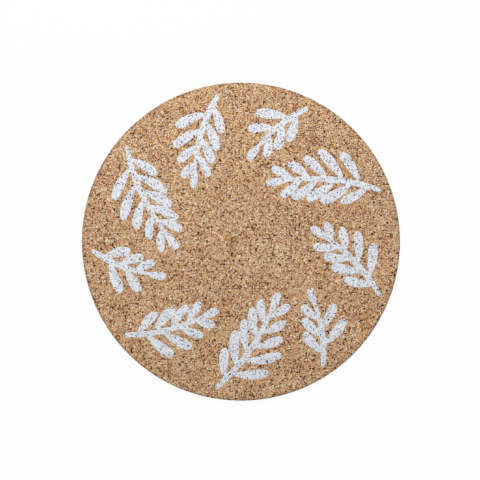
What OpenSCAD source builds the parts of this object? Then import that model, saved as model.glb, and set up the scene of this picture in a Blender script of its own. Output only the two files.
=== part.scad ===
// Round cork placemat with white leaf sprigs printed on its top face.
// The mat rests on z = 0, its centre is on the z axis and its printed face looks up.

/* [Cork] */
// Diameter of the cork disc
mat_d = 290; // [240:1:420]
// Thickness of the cork
mat_t = 4; // [3:0.5:12]
// Rounding of the die-cut rim, at the top and at the bottom
edge_r = 0.6; // [0.2:0.1:1.4]

/* [Print] */
// Depth to which the ink soaks into the cork, flush with its top face
ink_t = 0.08; // [0.04:0.01:0.3]
// Bare cork between the rim and the foot of every stem
rim_band = 9; // [4:0.5:30]
// Least length of rim for one set of three sprigs
set_pitch = 276; // [264:1:420]
// Turn of the whole print about the centre, in degrees
print_turn = 20; // [0:1:359]

/* [Stems] */
// Length of the longest stem of a set
long_stem = 94; // [60:1:115]
// Length of the middle stem of a set
mid_stem = 78; // [50:1:96]
// Length of the shortest stem of a set
short_stem = 61; // [40:1:74]
// Width of every stem
stem_w = 5.4; // [3:0.1:7]
// Angle between the rim and the foot of every stem, in degrees
stem_lean = 50; // [35:1:70]
// Bend of every stem from foot to tip, in degrees
stem_bend = 30; // [15:1:45]

/* [Leaves] */
// Length of the largest leaf on a long stem
long_leaf = 37; // [24:1:44]
// Length of the largest leaf on a middle stem
mid_leaf = 33; // [22:1:40]
// Length of the largest leaf on a short stem
short_leaf = 30; // [20:1:36]
// Width of the largest leaf
leaf_w = 9.3; // [5:0.1:12]
// Length of bare stem below the first leaf
leaf_start = 12; // [8:0.5:18]
// Spacing of the leaves on one side of a stem
leaf_pitch = 15.5; // [12:0.5:20]
// Angle between a stem and the leaves at its foot, in degrees
leaf_angle = 58; // [44:1:72]
// Bend of a leaf towards the tip of its stem, in degrees
leaf_bend = 22; // [5:1:35]

/* [Hidden] */
$fn = 96;
cork_colour = "#B89472";
ink_colour = "#D6DAE0";

// A set is a long, a short and a middle sprig, in that order along the rim
kinds = ["long", "short", "mid"];
stem_l = [long_stem, short_stem, mid_stem];
leaf_l = [long_leaf, short_leaf, mid_leaf];

// Place of each foot along its set's stretch of rim, as a share of that stretch
foot_place = [0, 0.36, 0.655];

// Feet of the stems lie on this circle, and as many whole sets as it holds go round it
foot_r = mat_d / 2 - rim_band;
set_count = max(1, floor(2 * PI * foot_r / set_pitch));

// Leaves are largest at this share of the stem, and shrink by these shares to its foot and tip
full_at = 0.3;
foot_loss = 0.35;
tip_loss = 0.5;

// A leaf narrows by this share of what its length loses
narrowing = 0.4;

// Leaves close up towards the tip by this angle, and differ in length by up to this share
leaf_close = 14;
leaf_vary = 0.07;

// The end leaf: where it springs from the stem, and its share of the largest leaf
end_at = 0.9;
end_l = 0.6;
end_w = 0.8;

// Last side leaf stands this share of a spacing or more below the tip
tip_clear = 0.7;

// Outline powers at the root and at the tip of a leaf and of a stem: below 0.5 is blunt, 1 is pointed
leaf_ends = [0.85, 0.42];
stem_ends = [0.18, 0.35];
leaf_steps = 8;
stem_steps = 12;

// Point at share t of a line of the given length that leaves along +X and bends evenly to the left
function bow(length, bend, t) =
    bend == 0 ? [length * t, 0]
    : length * 180 / (PI * bend) * [sin(bend * t), 1 - cos(bend * t)];

// Half width at share t as a share of the greatest half width, for the given end powers
function fullness(t, ends) =
    let (sum = ends[0] + ends[1])
    pow(t * sum / ends[0], ends[0]) * pow((1 - t) * sum / ends[1], ends[1]);

// Size of a side leaf at share t of its stem, as a share of the largest
function leaf_size(t) =
    1 - (t < full_at ? foot_loss * (full_at - t) / full_at : tip_loss * (t - full_at) / (1 - full_at));

// Half of the disc's section, with both corners of the rim rounded
module board_section() {
    square([mat_d / 2 - edge_r, mat_t]);
    translate([0, edge_r]) square([mat_d / 2, mat_t - 2 * edge_r]);
    for (z = [edge_r, mat_t - edge_r]) translate([mat_d / 2 - edge_r, z]) circle(edge_r);
}

// Bent outline of a leaf or a stem: one side from root to tip, then the other side back
module blade(length, width, bend, ends, steps) {
    shares = [for (i = [0:steps]) (1 - cos(180 * i / steps)) / 2];
    sides = [for (s = [1, -1]) [for (t = shares)
        bow(length, bend, t) + s * width / 2 * fullness(t, ends) * [-sin(bend * t), cos(bend * t)]]];
    back = [for (i = [steps - 1:-1:1]) sides[1][i]];
    polygon(concat(sides[0], back));
}

// One sprig on its own: the foot of the stem at the origin, the stem leaving along +X
module sprig_outline(kind) {
    stem = stem_l[kind];
    leaf = leaf_l[kind];
    last = floor((stem - tip_clear * leaf_pitch - leaf_start) * 2 / leaf_pitch);
    blade(stem, stem_w, stem_bend, stem_ends, stem_steps);
    for (i = [0:1:last]) {
        t = (leaf_start + i * leaf_pitch / 2) / stem;
        side = i % 2 == 0 ? 1 : -1;
        size = leaf_size(t);
        length = leaf * size * (1 + leaf_vary * sin(137.5 * i));
        width = leaf_w * (1 - narrowing * (1 - size));
        translate(bow(stem, stem_bend, t))
            rotate(stem_bend * t + side * (leaf_angle - leaf_close * t))
                blade(length, width, -side * leaf_bend, leaf_ends, leaf_steps);
    }
    translate(bow(stem, stem_bend, end_at))
        rotate(stem_bend * end_at)
            blade(leaf * end_l, leaf_w * end_w, 0, leaf_ends, leaf_steps);
}

// A sprig at its place on the mat, counted from 1 along the rim
module placed_outline(set, kind) {
    rotate(print_turn + 360 / set_count * (set - 1 + foot_place[kind]))
        translate([foot_r, 0])
            rotate(90 + stem_lean)
                sprig_outline(kind);
}

// Cork disc with a shallow bed for the ink of each sprig
module cork_board() {
    color(cork_colour) difference() {
        rotate_extrude() board_section();
        translate([0, 0, mat_t - ink_t]) linear_extrude(2 * ink_t)
            for (set = [1:set_count], kind = [0:2]) placed_outline(set, kind);
    }
}

// Ink of one sprig, filling its bed
module sprig(set, kind) {
    color(ink_colour)
        translate([0, 0, mat_t - ink_t]) linear_extrude(ink_t) placed_outline(set, kind);
}

cork_board();
for (set = [1:set_count], kind = [0:2])
    sprig(set, kind);
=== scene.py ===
# Round cork placemat: a die-cut disc of pressed cork with white leaf sprigs printed round its top face
import math
import bpy
import numpy as np
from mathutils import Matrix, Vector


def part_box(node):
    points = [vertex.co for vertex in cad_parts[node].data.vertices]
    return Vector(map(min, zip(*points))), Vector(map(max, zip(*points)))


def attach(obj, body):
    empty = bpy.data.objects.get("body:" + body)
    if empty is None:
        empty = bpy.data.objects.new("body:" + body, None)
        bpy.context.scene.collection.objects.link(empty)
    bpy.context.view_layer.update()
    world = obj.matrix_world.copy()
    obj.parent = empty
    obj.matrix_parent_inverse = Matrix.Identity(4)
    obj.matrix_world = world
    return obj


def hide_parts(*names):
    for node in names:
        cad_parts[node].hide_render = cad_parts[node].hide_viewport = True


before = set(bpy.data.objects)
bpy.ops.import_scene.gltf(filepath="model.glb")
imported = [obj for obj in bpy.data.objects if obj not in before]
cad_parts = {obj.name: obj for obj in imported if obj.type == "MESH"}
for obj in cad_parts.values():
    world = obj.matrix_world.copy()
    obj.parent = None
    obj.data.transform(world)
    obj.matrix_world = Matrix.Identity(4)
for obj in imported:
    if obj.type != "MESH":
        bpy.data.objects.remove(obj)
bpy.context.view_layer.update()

mm = 0.001  # the frame is in metres, sizes below are in mm where no note says otherwise
boardLow, boardHigh = (np.array(corner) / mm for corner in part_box("cork_board"))
boardRadius = (boardHigh[0] - boardLow[0]) / 2
boardThick = boardHigh[2] - boardLow[2]
sprigNames = sorted(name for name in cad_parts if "_sprig_" in name)
print("frame: disc", round(boardRadius * 2, 1), "x", round(boardThick, 2), "mm,", len(sprigNames), "sprigs")


def smoothStep(low, high, value):  # 0 below low, 1 above high, an S curve between
    t = np.clip((value - low) / (high - low), 0, 1)
    return t * t * (3 - 2 * t)


# One random point in every square cell of the given pitch. For each place it gives the distance to the
# nearest point and to the second nearest, and the nearest point's own random traits.
def scatterCells(x, y, pitch, seed, traitCount=3):
    rng = np.random.default_rng(seed)
    count = int(math.ceil(2.4 * boardRadius / pitch)) + 6  # covers the disc with room to spare
    spots = rng.random((count, count, 2))
    traits = rng.random((count, count, traitCount))
    column, row = x / pitch + count / 2, y / pitch + count / 2
    i0, j0 = np.floor(column).astype(int), np.floor(row).astype(int)
    near = np.full(x.shape, 9.0)  # in cells, further than any point can be
    second = near.copy()
    chosen = np.zeros(x.shape + (traitCount,))
    for di in (-1, 0, 1):
        for dj in (-1, 0, 1):
            i, j = i0 + di, j0 + dj
            away = np.hypot(i + spots[i, j, 0] - column, j + spots[i, j, 1] - row)
            closer = away < near
            second = np.where(closer, near, np.minimum(second, away))
            chosen = np.where(closer[..., None], traits[i, j], chosen)
            near = np.where(closer, away, near)
    return near * pitch, second * pitch, chosen


def blurred(field, cells):  # the mean with its neighbours, weighted by a bell of that many cells
    reach = int(math.ceil(3 * cells))
    weights = np.exp(-0.5 * (np.arange(-reach, reach + 1) / cells) ** 2)
    weights /= weights.sum()
    padded = np.pad(field, reach, mode="edge")
    rows = sum(w * padded[k:k + field.shape[0]] for k, w in enumerate(weights))
    return sum(w * rows[:, k:k + field.shape[1]] for k, w in enumerate(weights))


def gridQuads(rows, columns):  # the four point numbers of every cell of a grid
    grid = np.arange(rows * columns).reshape(rows, columns)
    return np.stack([grid[:-1, :-1], grid[:-1, 1:], grid[1:, 1:], grid[1:, :-1]], -1)


def gridBorder(n):  # point numbers of an n by n grid's border, one way round
    grid = np.arange(n * n).reshape(n, n)
    return np.concatenate([grid[0, :-1], grid[:-1, -1], grid[-1, :0:-1], grid[:0:-1, 0]])


# Points of a disc, from an n by n grid: each ring of the square becomes a ring of the disc, and its four
# sides become four quarter turns
def discGrid(n, radius):
    line = np.linspace(-1, 1, n)
    u, v = (side.ravel() for side in np.meshgrid(line, line))
    reach = np.maximum(np.abs(u), np.abs(v))
    wide = np.abs(u) >= np.abs(v)
    safe = np.where(reach > 0, reach, 1)
    along = np.where(wide, v, u) / safe * np.sign(np.where(wide, u, v))
    turn = np.where(wide, along * math.pi / 4, math.pi / 2 - along * math.pi / 4)
    flip = np.where(np.where(wide, u, v) < 0, -1, 1)
    return flip * reach * np.cos(turn) * radius, flip * reach * np.sin(turn) * radius


# A mesh object from whole arrays: places in mm, faces, values for each point and a map for each face corner
def addPiece(name, places, faces, material, node, mapOfCorners, values=None):
    mesh = bpy.data.meshes.new(name)
    mesh.from_pydata(places * mm, [], faces)
    mesh.polygons.foreach_set("use_smooth", np.ones(len(mesh.polygons), bool))
    for key, value in (values or {}).items():
        mesh.attributes.new(key, "FLOAT", "POINT").data.foreach_set("value", value.astype(np.float32))
    mesh.uv_layers.new(name="OFBake").data.foreach_set("uv", mapOfCorners.astype(np.float32).ravel())
    mesh.materials.append(material)
    piece = bpy.data.objects.new(name, mesh)
    bpy.context.scene.collection.objects.link(piece)
    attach(piece, "root")
    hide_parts(node)
    return piece


# Sprig outlines, read from the frame

# Rim of a node's top face as segments: the edges that only one of its upward triangles uses. Points that
# agree to a thousandth of a millimetre are one.
def topOutline(name):
    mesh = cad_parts[name].data
    places = np.empty(len(mesh.vertices) * 3)
    mesh.vertices.foreach_get("co", places)
    places = places.reshape(-1, 3) / mm
    mesh.calc_loop_triangles()
    corners = np.empty(len(mesh.loop_triangles) * 3, int)
    mesh.loop_triangles.foreach_get("vertices", corners)
    corners = corners.reshape(-1, 3)
    onTop = (places[corners, 2] > places[:, 2].max() - 0.001).all(1)
    points, same = np.unique(np.round(places[:, :2], 3), axis=0, return_inverse=True)
    triangles = same.reshape(-1)[corners[onTop]]
    edges = np.sort(np.concatenate([triangles[:, [0, 1]], triangles[:, [1, 2]], triangles[:, [2, 0]]]), 1)
    edges, uses = np.unique(edges, axis=0, return_counts=True)
    return points[edges[uses == 1]]


# Distance of each place from the outline, above 0 inside: to the nearest point of any segment, and for the
# sign, whether a line to the right crosses an odd number of segments
def insideDistance(x, y, segments):
    ax, ay, bx, by = segments.reshape(-1, 4).T.reshape((4, -1) + (1,) * x.ndim)
    dx, dy = bx - ax, by - ay
    t = np.clip(((x - ax) * dx + (y - ay) * dy) / (dx * dx + dy * dy), 0, 1)
    nearest = np.hypot(x - ax - t * dx, y - ay - t * dy).min(0)
    crossed = ((ay > y) != (by > y)) & (x < ax + (y - ay) * dx / np.where(dy == 0, 1, dy))
    return np.where(crossed.sum(0) % 2 == 1, nearest, -nearest)


outlines = {name: topOutline(name) for name in sprigNames}
print("outlines:", sum(len(o) for o in outlines.values()), "segments")


# Materials

def linearColour(code):  # sRGB hex to linear RGBA
    parts = [int(code[k:k + 2], 16) / 255 for k in (1, 3, 5)]
    return [c / 12.92 if c <= 0.04045 else ((c + 0.055) / 1.055) ** 2.4 for c in parts] + [1.0]


def newMaterial(name):
    material = bpy.data.materials.new(name)
    material.use_nodes = True
    tree = material.node_tree
    return material, tree, tree.nodes["Principled BSDF"]


fromRange = ("From Min", "From Max")
toRange = ("To Min", "To Max")


# Adds a node and gives the output that out names, or all outputs if it is None. Settings are the node's
# properties, and inputs are values or sockets to link: a pair of names takes a pair of them. Stops are the
# places and colours of a ramp.
def addNode(tree, kind, inputs=None, out=0, stops=None, **settings):
    node = tree.nodes.new("ShaderNode" + kind)
    for key, value in settings.items():
        setattr(node, key, value)
    for key, value in (inputs or {}).items():
        for name, part in zip(key, value) if isinstance(key, tuple) else [(key, value)]:
            if isinstance(part, bpy.types.NodeSocket):
                tree.links.new(part, node.inputs[name])
            else:
                node.inputs[name].default_value = part
    if stops:
        ramp = node.color_ramp
        while len(ramp.elements) < len(stops):
            ramp.elements.new(1.0)
        for element, (place, code) in zip(ramp.elements, stops):
            element.position = place
            element.color = linearColour(code)
    return node.outputs if out is None else node.outputs[out]


# The place that the granules' cells read: a noise pushes it about, because granules are not round
def bentPlace(tree, place, look):
    scale = look["bends"] / (look["crumb"] * mm)
    noise = addNode(tree, "TexNoise", {"Vector": place, "Scale": scale, "Detail": 2.0}, "Color")
    centred = addNode(tree, "VectorMath", {0: noise, 1: (0.5, 0.5, 0.5)}, operation="SUBTRACT")
    shift = addNode(tree, "VectorMath", {0: centred, "Scale": look["push"] * mm}, operation="SCALE")
    return addNode(tree, "VectorMath", {0: place, 1: shift}, operation="ADD")


# One fleck in the middle of each cell, with a radius of its own. Gives 1 inside the flecks and 0 outside, and
# the cell's random traits.
def fleckCells(tree, bent, look):
    cell = addNode(tree, "TexVoronoi", {"Vector": bent, "Scale": 1 / (look["fleck"] * mm)}, None)
    traits = addNode(tree, "SeparateColor", {"Color": cell["Color"]}, None)
    radius = addNode(tree, "MapRange", {"Value": traits["Green"], toRange: look["fleckRadius"]})
    depth = addNode(tree, "Math", {0: radius, 1: cell["Distance"]}, operation="SUBTRACT")
    return addNode(tree, "MapRange", {"Value": depth, fromRange: look["fleckEdge"]}), traits


# Links the colour, and from the height the bump and the roughness: what lies lower is rougher
def dressShader(tree, shader, look, colour, height):
    bump = addNode(tree, "Bump", {"Height": height, "Strength": look["bump"],
                                  "Distance": look["relief"] * mm})
    rough = addNode(tree, "MapRange", {"Value": height, toRange: look["roughness"]})
    tree.links.new(colour, shader.inputs["Base Color"])
    tree.links.new(rough, shader.inputs["Roughness"])
    tree.links.new(bump, shader.inputs["Normal"])
    shader.inputs["Specular IOR Level"].default_value = look["specular"]


corkLook = dict(
    granule=2.7,               # large granules, mm
    crumb=0.95,                # small granules that make up most of the face, mm
    fleck=1.7,                 # cells that may hold a fleck of bark or a pale core, mm
    grit=0.38,                 # broken cells of the cork, drawn ten times as coarse so that they show, mm
    patch=24.0,                # slow change of tone over the sheet, mm
    cluster=4.5,               # places where the crumbs differ more or less, mm
    push=1.5,                  # how far a noise bends the granules' outlines, mm
    bends=1.1,                 # waves of that noise to a crumb
    contrast=(0.45, 1.6),      # of the crumbs, in the calmest and in the busiest places
    contrastFrom=(0.4, 1.1),   # sum of noise and the granule's own trait that gives these two
    granuleContrast=0.5,       # part of the granule's own trait in that sum
    barkShare=0.33,            # share of the fleck cells that hold bark, at a contrast of 1
    paleShare=0.13,            # share of them that hold a pale core
    fleckRadius=(0.22, 0.58),  # least and greatest, as a share of the cell
    fleckEdge=(-0.03, 0.04),   # from outside a fleck's edge to inside it, as a share of the cell
    barkStrength=(0.7, 1.0),   # of the smallest and of the largest flecks
    darkShare=0.012,           # share of the large granules that are dark all over
    level=0.23,                # tone of an average crumb, before the parts below are added
    crumbTone=0.76,            # how far each of these moves the tone, which runs from 0 to 1
    gritTone=1.35,
    granuleTone=0.20,
    patchTone=0.40,
    barkTone=0.22,             # crumbs round bark are lighter
    paleTone=-0.12,            # and round a pale core darker
    tones=[(0.0, "#5C2817"), (0.1, "#955D3C"), (0.24, "#C28E64"), (0.38, "#D3A17A"),
           (0.52, "#DDB08A"), (0.68, "#E7BF99"), (0.86, "#F3D2B3"), (1.0, "#FAEAD5")],
    tints=[(0.1, "#FFFBF7"), (0.5, "#FFFEFB"), (0.9, "#FEFFFD")],  # each large granule is redder or greener
    blushes=[(0.1, "#FFFFE8"), (0.9, "#FFFFFF")],  # and each fleck cell more yellow or more pink
    # colour of bark flecks, and of the painted shade in pits
    barkColour="#501606",
    paleColour="#FAE9C5",
    jointColour="#7C3615",
    granuleJoint=(0.04, 0.16),  # where a joint is darkest and where it ends, as a share of the cell
    crumbJoint=(0.02, 0.16),
    jointShown=(0.52, 0.62),   # noise levels from which a joint starts to show and shows in full
    jointBreaks=0.7,           # waves of that noise to a crumb
    pitDark=(0.04, 0.25),      # depth at which painted shade in a pit starts and is darkest, mm
    rimShade=0.82,             # painted shade on the rim: its colour as a share of the face's
    sink=0.7,                  # how far joints and dark places lie lower, as a share of the relief
    relief=0.22,               # height of the bump, mm
    bump=0.9,
    roughness=(0.97, 0.82),    # of the lowest and of the highest places
    specular=0.25,
)


# Pressed cork granules, sanded: each granule has its own tan, thin dark joints run between them, bark flecks
# are dark brown, pits get painted shade in the same dark brown, the rim gets painted shade, and the cut cells
# catch the light as a dull matt surface
def pressedCork():
    look = corkLook
    material, tree, shader = newMaterial("pressedCorkSanded")
    place = addNode(tree, "TexCoord", out="Object")
    bent = bentPlace(tree, place, look)
    per = {key: 1 / (look[key] * mm) for key in ("granule", "crumb", "grit", "patch", "cluster")}
    granule = addNode(tree, "TexVoronoi", {"Vector": bent, "Scale": per["granule"]}, "Color")
    granule = addNode(tree, "SeparateColor", {"Color": granule}, None)
    crumb = addNode(tree, "TexVoronoi", {"Vector": bent, "Scale": per["crumb"]}, "Color")
    crumb = addNode(tree, "SeparateColor", {"Color": crumb}, "Red")
    grit = addNode(tree, "TexNoise", {"Vector": place, "Scale": per["grit"], "Detail": 2.0, "Roughness": 0.6})
    patch = addNode(tree, "TexNoise", {"Vector": place, "Scale": per["patch"], "Detail": 2.0})
    # contrast of the crumbs: each large granule has its own, and it drifts over the sheet
    cluster = addNode(tree, "TexNoise", {"Vector": place, "Scale": per["cluster"], "Detail": 2.0})
    busy = addNode(tree, "Math", {0: granule["Blue"], 1: look["granuleContrast"], 2: cluster},
                   operation="MULTIPLY_ADD")
    busy = addNode(tree, "MapRange", {"Value": busy, fromRange: look["contrastFrom"],
                                      toRange: look["contrast"]})
    # flecks of bark, more of them where it is busy, and pale cores
    core, fleck = fleckCells(tree, bent, look)
    barkShare = addNode(tree, "Math", {0: busy, 1: look["barkShare"]}, operation="MULTIPLY")
    isBark = addNode(tree, "Math", {0: fleck["Red"], 1: barkShare}, operation="LESS_THAN")
    isPale = addNode(tree, "Math", {0: fleck["Red"], 1: 1 - look["paleShare"]}, operation="GREATER_THAN")
    strength = addNode(tree, "MapRange", {"Value": fleck["Green"], toRange: look["barkStrength"]})
    bark = addNode(tree, "Math", {0: isBark, 1: core}, operation="MULTIPLY")
    bark = addNode(tree, "Math", {0: bark, 1: strength}, operation="MULTIPLY")
    pale = addNode(tree, "Math", {0: isPale, 1: core}, operation="MULTIPLY")
    # tone: mostly that of the crumb and its grit, less their mean, and a little of all the rest
    mean = (look["crumbTone"] + look["gritTone"]) / 2
    crumbs = addNode(tree, "Math", {0: crumb, 1: look["crumbTone"], 2: -mean}, operation="MULTIPLY_ADD")
    crumbs = addNode(tree, "Math", {0: grit, 1: look["gritTone"], 2: crumbs}, operation="MULTIPLY_ADD")
    tone = addNode(tree, "Math", {0: crumbs, 1: busy, 2: look["level"]}, operation="MULTIPLY_ADD")
    for source, share in ((granule["Red"], "granuleTone"), (patch, "patchTone"),
                          (isBark, "barkTone"), (isPale, "paleTone")):
        tone = addNode(tree, "Math", {0: source, 1: look[share], 2: tone}, operation="MULTIPLY_ADD")
    colour = addNode(tree, "ValToRGB", {"Fac": tone}, stops=look["tones"])
    for source, stops in ((granule["Green"], "tints"), (fleck["Blue"], "blushes")):
        tint = addNode(tree, "ValToRGB", {"Fac": source}, stops=look[stops])
        colour = addNode(tree, "Mix", {0: 1.0, 6: colour, 7: tint}, 2,
                         data_type="RGBA", blend_type="MULTIPLY")
    # joints: dark where two granules meet, broken by a noise so that only some of each joint shows
    lines = []
    for key in ("granule", "crumb"):
        edge = addNode(tree, "TexVoronoi", {"Vector": bent, "Scale": per[key]}, feature="DISTANCE_TO_EDGE")
        line = addNode(tree, "MapRange", {"Value": edge, fromRange: look[key + "Joint"], toRange: (1.0, 0.0)})
        lines.append(line)
    line = addNode(tree, "Math", {0: lines[0], 1: lines[1]}, operation="MAXIMUM")
    breaks = look["jointBreaks"] * per["crumb"]
    gaps = addNode(tree, "TexNoise", {"Vector": place, "Scale": breaks, "Detail": 1.0})
    shown = addNode(tree, "MapRange", {"Value": gaps, fromRange: look["jointShown"]})
    shown = addNode(tree, "Math", {0: shown, 1: busy}, operation="MULTIPLY", use_clamp=True)
    joint = addNode(tree, "Math", {0: line, 1: shown}, operation="MULTIPLY")
    # dark places: bark, painted shade in pits after their depth, and the few granules that are dark all over
    pit = addNode(tree, "Attribute", out="Fac", attribute_name="pitDepth")
    pit = addNode(tree, "MapRange", {"Value": pit, fromRange: look["pitDark"]})
    grain = addNode(tree, "Math", {0: granule["Green"], 1: look["darkShare"]}, operation="LESS_THAN")
    grain = addNode(tree, "Math", {0: grain, 1: grit}, operation="MULTIPLY")
    darkCorkAndPitShade = addNode(tree, "Math", {0: bark, 1: pit}, operation="MAXIMUM")
    darkCorkAndPitShade = addNode(tree, "Math", {0: darkCorkAndPitShade, 1: grain}, operation="MAXIMUM")
    for share, code in ((joint, "jointColour"), (pale, "paleColour"), (darkCorkAndPitShade, "barkColour")):
        colour = addNode(tree, "Mix", {0: share, 6: colour, 7: linearColour(look[code])}, 2, data_type="RGBA")
    # painted shade round the rim: the rounded rim and the face's border next to it are darker
    rim = addNode(tree, "Attribute", out="Fac", attribute_name="cutRim")
    rim = addNode(tree, "MapRange", {"Value": rim, toRange: (1.0, look["rimShade"])})
    colour = addNode(tree, "Mix", {0: 1.0, 6: colour, 7: rim}, 2, data_type="RGBA", blend_type="MULTIPLY")
    # relief finer than the mesh: joints and dark places lie lower, crumbs and grit differ in height
    low = addNode(tree, "Math", {0: joint, 1: darkCorkAndPitShade}, operation="MAXIMUM")
    height = addNode(tree, "Math", {0: low, 1: -look["sink"], 2: tone}, operation="MULTIPLY_ADD")
    dressShader(tree, shader, look, colour, height)
    return material


inkLook = dict(
    crumb=0.85,                # crumbs that show through the ink as lighter and darker, mm
    fleck=0.95,                # cells that may hold a speck of bare cork, mm
    grit=0.38,                 # grain of the ink, drawn coarser than it is so that it shows, mm
    push=1.5,                  # how far a noise bends the crumbs' outlines, mm
    bends=1.1,                 # waves of that noise to a crumb
    speckShare=0.55,           # share of the cells that hold a speck
    fleckRadius=(0.05, 0.62),  # least and greatest, as a share of the cell
    fleckEdge=(-0.07, 0.08),
    speckStrength=(0.4, 1.0),  # how bare the smallest and the largest specks are
    level=-0.92,               # tone before the parts below are added
    crumbTone=1.9,             # how far each of these moves the tone, which runs from 0 to 1
    gritTone=2.3,
    speckTone=0.30,            # ink round a speck is fuller
    tones=[(0.0, "#5A4C4E"), (0.1, "#8E8894"), (0.25, "#C4C9E8"), (0.45, "#E1E7FE"),
           (0.65, "#EEF3FF"), (0.85, "#F3F7FF"), (1.0, "#F8FBFF")],
    speckColours=[(0.2, "#30160B"), (0.7, "#5A2F17"), (1.0, "#9A683F")],  # painted shade of a pore, then bark and granule
    sink=0.8,                  # how far specks lie lower, as a share of the relief
    relief=0.15,               # height of the bump, mm
    bump=0.7,
    roughness=(0.9, 0.62),     # of the specks and of the full ink
    specular=0.35,
)


# White screen-printing ink on raw cork: a thin cool white that lets the granules show through as grey, with
# brown specks where it missed, the darkest of them painted shade of a pore, dull and slightly smoother than
# the cork
def printedInk():
    look = inkLook
    material, tree, shader = newMaterial("screenPrintedInk")
    place = addNode(tree, "TexCoord", out="Object")
    bent = bentPlace(tree, place, look)
    crumb = addNode(tree, "TexVoronoi", {"Vector": bent, "Scale": 1 / (look["crumb"] * mm)}, "Color")
    crumb = addNode(tree, "SeparateColor", {"Color": crumb}, "Red")
    grit = addNode(tree, "TexNoise", {"Vector": place, "Scale": 1 / (look["grit"] * mm), "Detail": 2.0})
    core, speck = fleckCells(tree, bent, look)
    isSpeck = addNode(tree, "Math", {0: speck["Red"], 1: look["speckShare"]}, operation="LESS_THAN")
    strength = addNode(tree, "MapRange", {"Value": speck["Green"], toRange: look["speckStrength"]})
    bare = addNode(tree, "Math", {0: isSpeck, 1: core}, operation="MULTIPLY")
    bare = addNode(tree, "Math", {0: bare, 1: strength}, operation="MULTIPLY")
    tone = addNode(tree, "Math", {0: crumb, 1: look["crumbTone"], 2: look["level"]}, operation="MULTIPLY_ADD")
    for source, share in ((grit, "gritTone"), (isSpeck, "speckTone")):
        tone = addNode(tree, "Math", {0: source, 1: look[share], 2: tone}, operation="MULTIPLY_ADD")
    white = addNode(tree, "ValToRGB", {"Fac": tone}, stops=look["tones"])
    below = addNode(tree, "ValToRGB", {"Fac": speck["Blue"]}, stops=look["speckColours"])
    colour = addNode(tree, "Mix", {0: bare, 6: white, 7: below}, 2, data_type="RGBA")
    height = addNode(tree, "Math", {0: bare, 1: -look["sink"], 2: tone}, operation="MULTIPLY_ADD")
    dressShader(tree, shader, look, colour, height)
    return material


corkMaterial = pressedCork()
inkMaterial = printedInk()
print("materials:", corkMaterial.name, "and", inkMaterial.name)


# Cork board

corkFace = dict(
    granule=2.6,           # usual width of a cork granule
    granuleLift=0.05,      # how far one granule stands above its neighbour
    granuleBelow=0.6,      # share of that lift that lies below the face
    jointDepth=0.05,       # groove between granules
    jointWidth=0.35,
    pitSpacing=9.0,        # cells that may hold a pit where a granule broke out
    pitShare=0.55,         # share of those cells that do
    pitRadius=(0.55, 1.35),
    pitDepth=(0.18, 0.50),
    pitFloor=0.35,         # flat floor of a pit, as a share of its radius
)


# Height of the pressed face over its mean plane: every granule has its own level, falls off to the joint
# round it and, here and there, a granule is missing and leaves a bowl. Gives the height and the bowl's depth.
def corkRelief(x, y, seed):
    near, second, trait = scatterCells(x, y, corkFace["granule"], seed)
    joint = 1 - smoothStep(0, corkFace["jointWidth"], second - near)
    level = corkFace["granuleLift"] * (trait[..., 0] - corkFace["granuleBelow"])
    away, _, pit = scatterCells(x, y, corkFace["pitSpacing"], seed + 1)
    radius = np.interp(pit[..., 0], (0, 1), corkFace["pitRadius"])
    depth = np.interp(pit[..., 1], (0, 1), corkFace["pitDepth"]) * (pit[..., 2] < corkFace["pitShare"])
    bowl = depth * (1 - smoothStep(corkFace["pitFloor"], 1.0, away / radius))
    return level * (1 - joint) - corkFace["jointDepth"] * joint - bowl, bowl


corkBoard = dict(
    faceCells=270,          # cells across the printed face, a multiple of 3
    shoulder=(1.8, 1.3),    # how far the die-cut rim rounds over, inwards and downwards
    foot=0.5,               # rounding of the lower edge
    rimRows=(5, 3, 3),      # rows of points over the shoulder, down the wall and round the foot
    crumble=0.5,            # how deep crumbs are missing from the rim
    crumbWidth=2.2,
    crumbShare=0.2,         # share of the rim's crumbs that are missing
    crumbFloor=(0.25, 0.6),  # from a missing crumb's flat floor to its edge, in crumb widths
    crumbShade=0.5,         # how much such a hollow darkens, against a pit as deep
    bedDepth=0.22,          # how far the face lies lower under the ink
    bedMargin=2.0,          # room round an outline in which its bed is worked out
    bedEdge=(-0.2, 0.7),    # where the bed's slope starts outside the ink's outline and ends inside it
    cutEdge=(-1.2, 1.0),    # where the painted rim shade starts on the face and where it is as dark as on the rim
    underInset=2.5,         # how far the underside's grid stays within the face's border
    underPits=0.8,          # depth of the pits there, as a share of the face's
    underSeed=40,           # added to the seed, so that the underside has its own granules
    topMap=(0.405, 0.4),    # centre and radius on the map, of the face with its rim
    underMap=(0.825, 0.16),  # and of the underside
    seed=11,
)


# Rows of the rim: a quarter turn over the shoulder, straight down the cut wall and a quarter turn round the
# foot. Gives how far each row lies out and down, the lean of its surface, and its way from the face's border.
def rimSection():
    wide, deep = corkBoard["shoulder"]
    foot = corkBoard["foot"]
    over, down, tuck = (np.arange(1, rows + 1) / rows for rows in corkBoard["rimRows"])
    over, tuck = over * math.pi / 2, tuck * math.pi / 2
    wall = deep + (boardThick - foot - deep) * down
    outward = np.concatenate([wide * np.sin(over), 0 * wall + wide, wide - foot * (1 - np.cos(tuck))])
    drop = np.concatenate([deep * (1 - np.cos(over)), wall, boardThick - foot + foot * np.sin(tuck)])
    lean = np.concatenate([over, 0 * wall + math.pi / 2, math.pi / 2 + tuck])
    way = np.cumsum(np.hypot(np.diff(outward, prepend=0), np.diff(drop, prepend=0)))
    return (row[:, None] for row in (outward, drop, lean, way))


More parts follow.
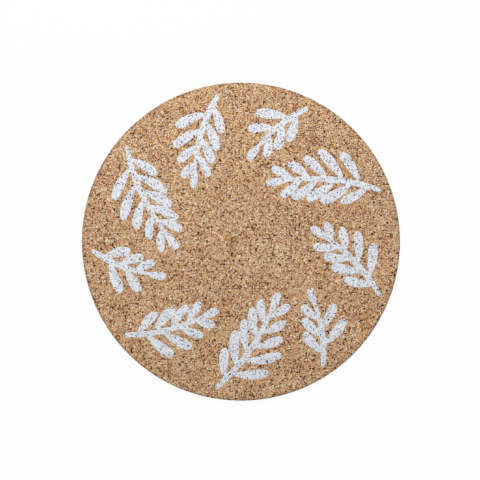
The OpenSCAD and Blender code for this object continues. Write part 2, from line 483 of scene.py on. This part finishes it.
def inkBed(x, y):  # 1 under the ink, 0 beside it, a slope along its outline
    bed = np.zeros(x.shape)
    margin = corkBoard["bedMargin"]
    for segments in outlines.values():
        low, high = segments.min((0, 1)) - margin, segments.max((0, 1)) + margin
        close = (x > low[0]) & (x < high[0]) & (y > low[1]) & (y < high[1])
        inside = insideDistance(x[close], y[close], segments)
        bed[close] = np.maximum(bed[close], smoothStep(*corkBoard["bedEdge"], inside))
    return bed


# Closed disc. The printed face is a square grid bent to a disc and lifted by the relief, with a bed under the
# ink. The rim carries the face's border along its section, and the relief runs on over it as if it lay flat,
# pushed out along the lean. A coarser grid closes the underside.
def makeBoard():
    seed = corkBoard["seed"]
    n, coarse = corkBoard["faceCells"] + 1, corkBoard["faceCells"] // 3 + 1
    flat = boardRadius - corkBoard["shoulder"][0]
    x, y = discGrid(n, flat)
    relief, bowl = corkRelief(x, y, seed)
    face = np.stack([x, y, boardThick + relief - corkBoard["bedDepth"] * inkBed(x, y)], 1)
    border = gridBorder(n)
    turn = np.arctan2(y[border], x[border])
    outward, drop, lean, way = rimSection()
    spreadX, spreadY = (flat + way) * np.cos(turn), (flat + way) * np.sin(turn)
    rimRelief, rimBowl = corkRelief(spreadX, spreadY, seed)
    away, _, crumb = scatterCells(spreadX, spreadY, corkBoard["crumbWidth"], seed + 2)
    gone = corkBoard["crumble"] * crumb[..., 0] * (crumb[..., 1] < corkBoard["crumbShare"])
    gone = gone * (1 - smoothStep(*corkBoard["crumbFloor"], away / corkBoard["crumbWidth"]))
    push = (rimRelief - gone) * np.minimum(1, (boardThick - drop) / corkBoard["foot"])
    reachOut = flat + outward + push * np.sin(lean)
    level = np.maximum(boardThick - drop + push * np.cos(lean), 0)
    rim = np.stack([reachOut * np.cos(turn), reachOut * np.sin(turn), level], -1).reshape(-1, 3)
    underX, underY = discGrid(coarse, flat - corkBoard["underInset"])
    underBowl = corkRelief(underX, underY, seed + corkBoard["underSeed"])[1]
    under = np.stack([underX, underY, underBowl * corkBoard["underPits"]], 1)
    places = np.concatenate([face, rim, under])
    # depth of the pits and of the rim's missing crumbs, from which the material paints shade
    pits = np.concatenate([bowl, (rimBowl + corkBoard["crumbShade"] * gone).ravel(), underBowl])
    # painted shade towards the rim: none inside the face, full on the rim, none on the underside
    faceRimShade = smoothStep(*corkBoard["cutEdge"], np.hypot(x, y) - flat)
    paintedRimShade = np.concatenate([faceRimShade, np.ones(len(rim)), 0 * underBowl])
    # faces of the grid, of the rim's rows and of the underside
    ring, underStart = len(border), len(face) + len(rim)
    loops = [border] + [len(face) + ring * k + np.arange(ring) for k in range(len(drop))]
    quads = [gridQuads(n, n).reshape(-1, 4)]
    for upper, lower in zip(loops[:-1], loops[1:]):
        quads.append(np.stack([upper, lower, np.roll(lower, -1), np.roll(upper, -1)], 1))
    quads.append(underStart + gridQuads(coarse, coarse).reshape(-1, 4)[:, ::-1])
    # the strip between: three rim points meet each point of the coarse border, by a quad and two triangles
    stripStart = 4 * sum(len(part) for part in quads)
    fine, inner = loops[-1].reshape(-1, 3), underStart + gridBorder(coarse)
    nextFine, nextInner = np.roll(fine[:, 0], -1), np.roll(inner, -1)
    quads.append(np.stack([fine[:, 1], inner, nextInner, fine[:, 2]], 1))
    quads = np.concatenate(quads)
    triangles = np.concatenate([np.stack([fine[:, 0], inner, fine[:, 1]], 1),
                                np.stack([fine[:, 2], nextInner, nextFine], 1)])
    # map: the face with the rim unrolled round it is one disc, the underside with the strip a smaller one
    topAt, topSize = corkBoard["topMap"]
    underAt, underSize = corkBoard["underMap"]
    reach = flat + way[-1]
    unrolled = np.concatenate([face[:, :2], np.stack([spreadX, spreadY], -1).reshape(-1, 2)])
    fromBelow = underAt + underSize * places[:, :2] * (1, -1) / reach
    fromAbove = np.concatenate([topAt + topSize * unrolled / reach, fromBelow[underStart:]])
    corners = np.concatenate([quads.ravel(), triangles.ravel()])
    mapped = np.concatenate([fromAbove[corners[:stripStart]], fromBelow[corners[stripStart:]]])
    faces = quads.tolist() + triangles.tolist()
    print("board:", len(places), "points,", len(faces), "faces")
    addPiece("corkBoard", places, faces, corkMaterial, "cork_board", mapped,
             {"pitDepth": pits, "cutRim": paintedRimShade})


makeBoard()


# Printed sprigs

printFilm = dict(
    cell=0.42,             # grid of the film
    margin=1.5,            # grid beyond the outline
    soften=0.55,           # rounding that the ink's flow gives the outline
    ragged=0.32,           # how far granules push the edge in and out
    raggedWidth=1.3,
    raggedBlur=0.7,        # in cells
    poreSpacing=2.3,       # cells that may hold a pore that the ink misses
    poreShare=0.25,
    poreRadius=(0.18, 0.52),
    pitMissed=0.16,        # pits deeper than this stay bare
    pitSlope=3.0,          # how fast the ink's edge draws back round them
    follow=0.8,            # share of the cork's relief that the film takes
    above=0.03,            # film over the cork
    deep=0.26,             # film's edge below its top
    feather=0.10,          # how far the edge spreads at its foot
    slopeBlur=0.8,         # in cells, for an even run of the edge
    leastSlope=0.35,
    drawn=0.45,            # farthest that a border point is drawn to the edge, in cells
    mapBorder=0.02,        # bare border of the map, as a share of its side
    mapGap=1.02,           # from the top's place on the map to the underside's, in widths
    raggedSeed=300,
    poreSeed=400,
)


# Distance from the ink's edge, above 0 inside: that from the outline, rounded by the ink's flow, with round
# pores taken out, the edge pushed in and out by the granules, and deep pits left bare. Gives it and the
# cork's height.
def inkField(x, y, segments, index):
    field = blurred(insideDistance(x, y, segments), printFilm["soften"] / printFilm["cell"])
    away, _, pore = scatterCells(x, y, printFilm["poreSpacing"], printFilm["poreSeed"] + index)
    radius = np.interp(pore[..., 0] ** 2, (0, 1), printFilm["poreRadius"])
    field = np.where(pore[..., 1] < printFilm["poreShare"], np.minimum(field, away - radius), field)
    _, _, trait = scatterCells(x, y, printFilm["raggedWidth"], printFilm["raggedSeed"] + index, 1)
    field = field + blurred(printFilm["ragged"] * (2 * trait[..., 0] - 1), printFilm["raggedBlur"])
    height, bowl = corkRelief(x, y, corkBoard["seed"])
    return np.minimum(field, (printFilm["pitMissed"] - bowl) * printFilm["pitSlope"]), height


# Cells with ink: those whose middle is inside. Two that only touch at a corner get their neighbours too, so
# that the film's edge never meets itself in a point.
def inkedCells(field):
    kept = (field[:-1, :-1] + field[1:, :-1] + field[:-1, 1:] + field[1:, 1:]) > 0
    for _ in range(4):  # enough rounds for all of them
        a, b, c, d = kept[:-1, :-1], kept[:-1, 1:], kept[1:, :-1], kept[1:, 1:]
        touch = np.pad((a & d & ~b & ~c) | (b & c & ~a & ~d), 1)
        kept = kept | touch[1:, 1:] | touch[1:, :-1] | touch[:-1, 1:] | touch[:-1, :-1]
    return kept


# Thin closed film on a fine square grid. Border points move along the field's slope to its zero line, the top
# takes the height of the cork below, and a copy of it, sunk and spread a little, closes it from below.
def makeSprig(name, index):
    cell = printFilm["cell"]
    segments = outlines[name]
    low, high = segments.min((0, 1)) - printFilm["margin"], segments.max((0, 1)) + printFilm["margin"]
    columns, rows = np.ceil((high - low) / cell).astype(int) + 1
    x, y = np.meshgrid(low[0] + cell * np.arange(columns), low[1] + cell * np.arange(rows))
    field, height = inkField(x, y, segments, index)
    quads = gridQuads(rows, columns)[inkedCells(field)]
    # the border: sides of cells that no other cell uses the other way round
    sides = np.concatenate([quads[:, [k, (k + 1) % 4]] for k in range(4)])
    key, backKey = sides[:, 0] * x.size + sides[:, 1], sides[:, 1] * x.size + sides[:, 0]
    rim = sides[~np.isin(key, backKey)]
    onRim = np.zeros(x.size, bool)
    onRim[rim.ravel()] = True
    onRim = onRim.reshape(x.shape)
    slopeY, slopeX = np.gradient(blurred(field, printFilm["slopeBlur"]), cell)
    steep = np.maximum(np.hypot(slopeX, slopeY), printFilm["leastSlope"])
    farthest = printFilm["drawn"] * cell
    move = np.where(onRim, np.clip(-field / steep, -farthest, farthest), 0)
    topX, topY = x + move * slopeX / steep, y + move * slopeY / steep
    top = boardThick + printFilm["follow"] * height + printFilm["above"]
    spread = np.where(onRim, printFilm["feather"], 0)
    footX, footY = topX - spread * slopeX / steep, topY - spread * slopeY / steep
    # only the points in use, the top's first and the foot's after them
    used, quads = np.unique(quads, return_inverse=True)
    quads = quads.reshape(-1, 4)
    order = np.zeros(x.size, int)
    order[used] = np.arange(len(used))
    upper = np.stack([c.ravel()[used] for c in (topX, topY, top)], 1)
    lower = np.stack([c.ravel()[used] for c in (footX, footY, top - printFilm["deep"])], 1)
    start, end = order[rim[:, 0]], order[rim[:, 1]]
    walls = np.stack([end, start, start + len(used), end + len(used)], 1)
    places = np.concatenate([upper, lower])
    faces = np.concatenate([quads, quads[:, ::-1] + len(used), walls])
    # map: the top and its edges fill one half of the square, the hidden underside the other
    size = high - low
    shorter = 0 if size[0] < size[1] else 1
    offset = size.min() * printFilm["mapGap"]
    scale = (1 - 2 * printFilm["mapBorder"]) / max(size.max(), 2 * offset)
    mapped = (printFilm["mapBorder"] + (places[:, :2] - low) * scale)[faces]
    mapped[len(quads):2 * len(quads), :, shorter] += offset * scale
    length, kind, number = name.split("_")
    return addPiece(length + kind.title() + number, places, faces.tolist(), inkMaterial, name,
                    mapped.reshape(-1, 2))


sprigs = [makeSprig(name, index) for index, name in enumerate(sprigNames)]
print("sprigs:", len(sprigs), "films,", sum(len(s.data.polygons) for s in sprigs), "faces")


# Floor, light and camera

studio = dict(
    photoSide=480,                # the photograph's side in pixels
    discPixels=159.1,             # radius of the disc in it
    discCentre=(240.94, 241.64),  # from the picture's left and top
    rimBelow=1.0,                 # its outline is taken this far below the top face, mm
    lens=85.0,
    keyPlace=(-0.13, 0.59, 0.66),  # in metres, as the sizes below
    keySize=0.8,
    keyPower=5.9,
    skyLevel=0.46,
    floorHalf=6.0,
    floorDrop=0.0002,             # just under the mat, so that the two never share a plane
    floorColour="#F4F4F4",
    floorRough=0.9,
    floorWhite=0.93,              # share of the floor that the camera sees as plain white
)


# Plain white paper sweep: the camera, and gloss and glass, see mostly white, and the object's shadow stays
def addFloor():
    material, tree, shader = newMaterial("whitePaperSweep")
    shader.inputs["Base Color"].default_value = linearColour(studio["floorColour"])
    shader.inputs["Roughness"].default_value = studio["floorRough"]
    path = addNode(tree, "LightPath", out=None)
    seen = path["Is Camera Ray"]
    for ray in ("Is Glossy Ray", "Is Transmission Ray"):
        seen = addNode(tree, "Math", {0: seen, 1: path[ray]}, operation="MAXIMUM")
    share = addNode(tree, "Math", {0: seen, 1: studio["floorWhite"]}, operation="MULTIPLY")
    white = addNode(tree, "Emission", {"Color": (1, 1, 1, 1), "Strength": 1.0})
    mix = addNode(tree, "MixShader", {0: share, 1: shader.outputs[0], 2: white})
    tree.links.new(mix, tree.nodes["Material Output"].inputs["Surface"])
    mesh = bpy.data.meshes.new("floor")
    half = studio["floorHalf"]
    corners = [(-half, -half, 0), (half, -half, 0), (half, half, 0), (-half, half, 0)]
    mesh.from_pydata(corners, [], [(0, 1, 2, 3)])
    mesh.materials.append(material)
    floor = bpy.data.objects.new("floor", mesh)
    floor.location.z = -studio["floorDrop"]
    bpy.context.scene.collection.objects.link(floor)


# An even white sky and one large softbox behind the mat, both at a plain level
def addLight():
    world = bpy.data.worlds.new("studioSky")
    bpy.context.scene.world = world
    world.use_nodes = True
    sky = world.node_tree.nodes["Background"]
    sky.inputs["Color"].default_value = (1, 1, 1, 1)
    sky.inputs["Strength"].default_value = studio["skyLevel"]
    lamp = bpy.data.lights.new("softbox", "AREA")
    lamp.size = studio["keySize"]
    lamp.energy = studio["keyPower"]
    key = bpy.data.objects.new("softbox", lamp)
    key.location = studio["keyPlace"]
    key.rotation_euler = (-key.location).to_track_quat("-Z", "Y").to_euler()
    bpy.context.scene.collection.objects.link(key)


# Straight above the mat: the height puts the disc at its photographed size, and the shift off the middle at
# its photographed place
def addCamera():
    data = bpy.data.cameras.new("overhead")
    data.lens = studio["lens"]
    data.clip_end = 20
    half = studio["photoSide"] / 2
    pixel = boardRadius * mm / studio["discPixels"]
    height = studio["photoSide"] * data.lens / data.sensor_width * pixel
    right, down = studio["discCentre"]
    camera = bpy.data.objects.new("overhead", data)
    camera.location = ((half - right) * pixel, (down - half) * pixel,
                       height + (boardThick - studio["rimBelow"]) * mm)
    bpy.context.scene.collection.objects.link(camera)
    bpy.context.scene.camera = camera


addFloor()
addLight()
addCamera()
bpy.context.scene.view_settings.view_transform = "Standard"
print("studio: camera, softbox and floor")
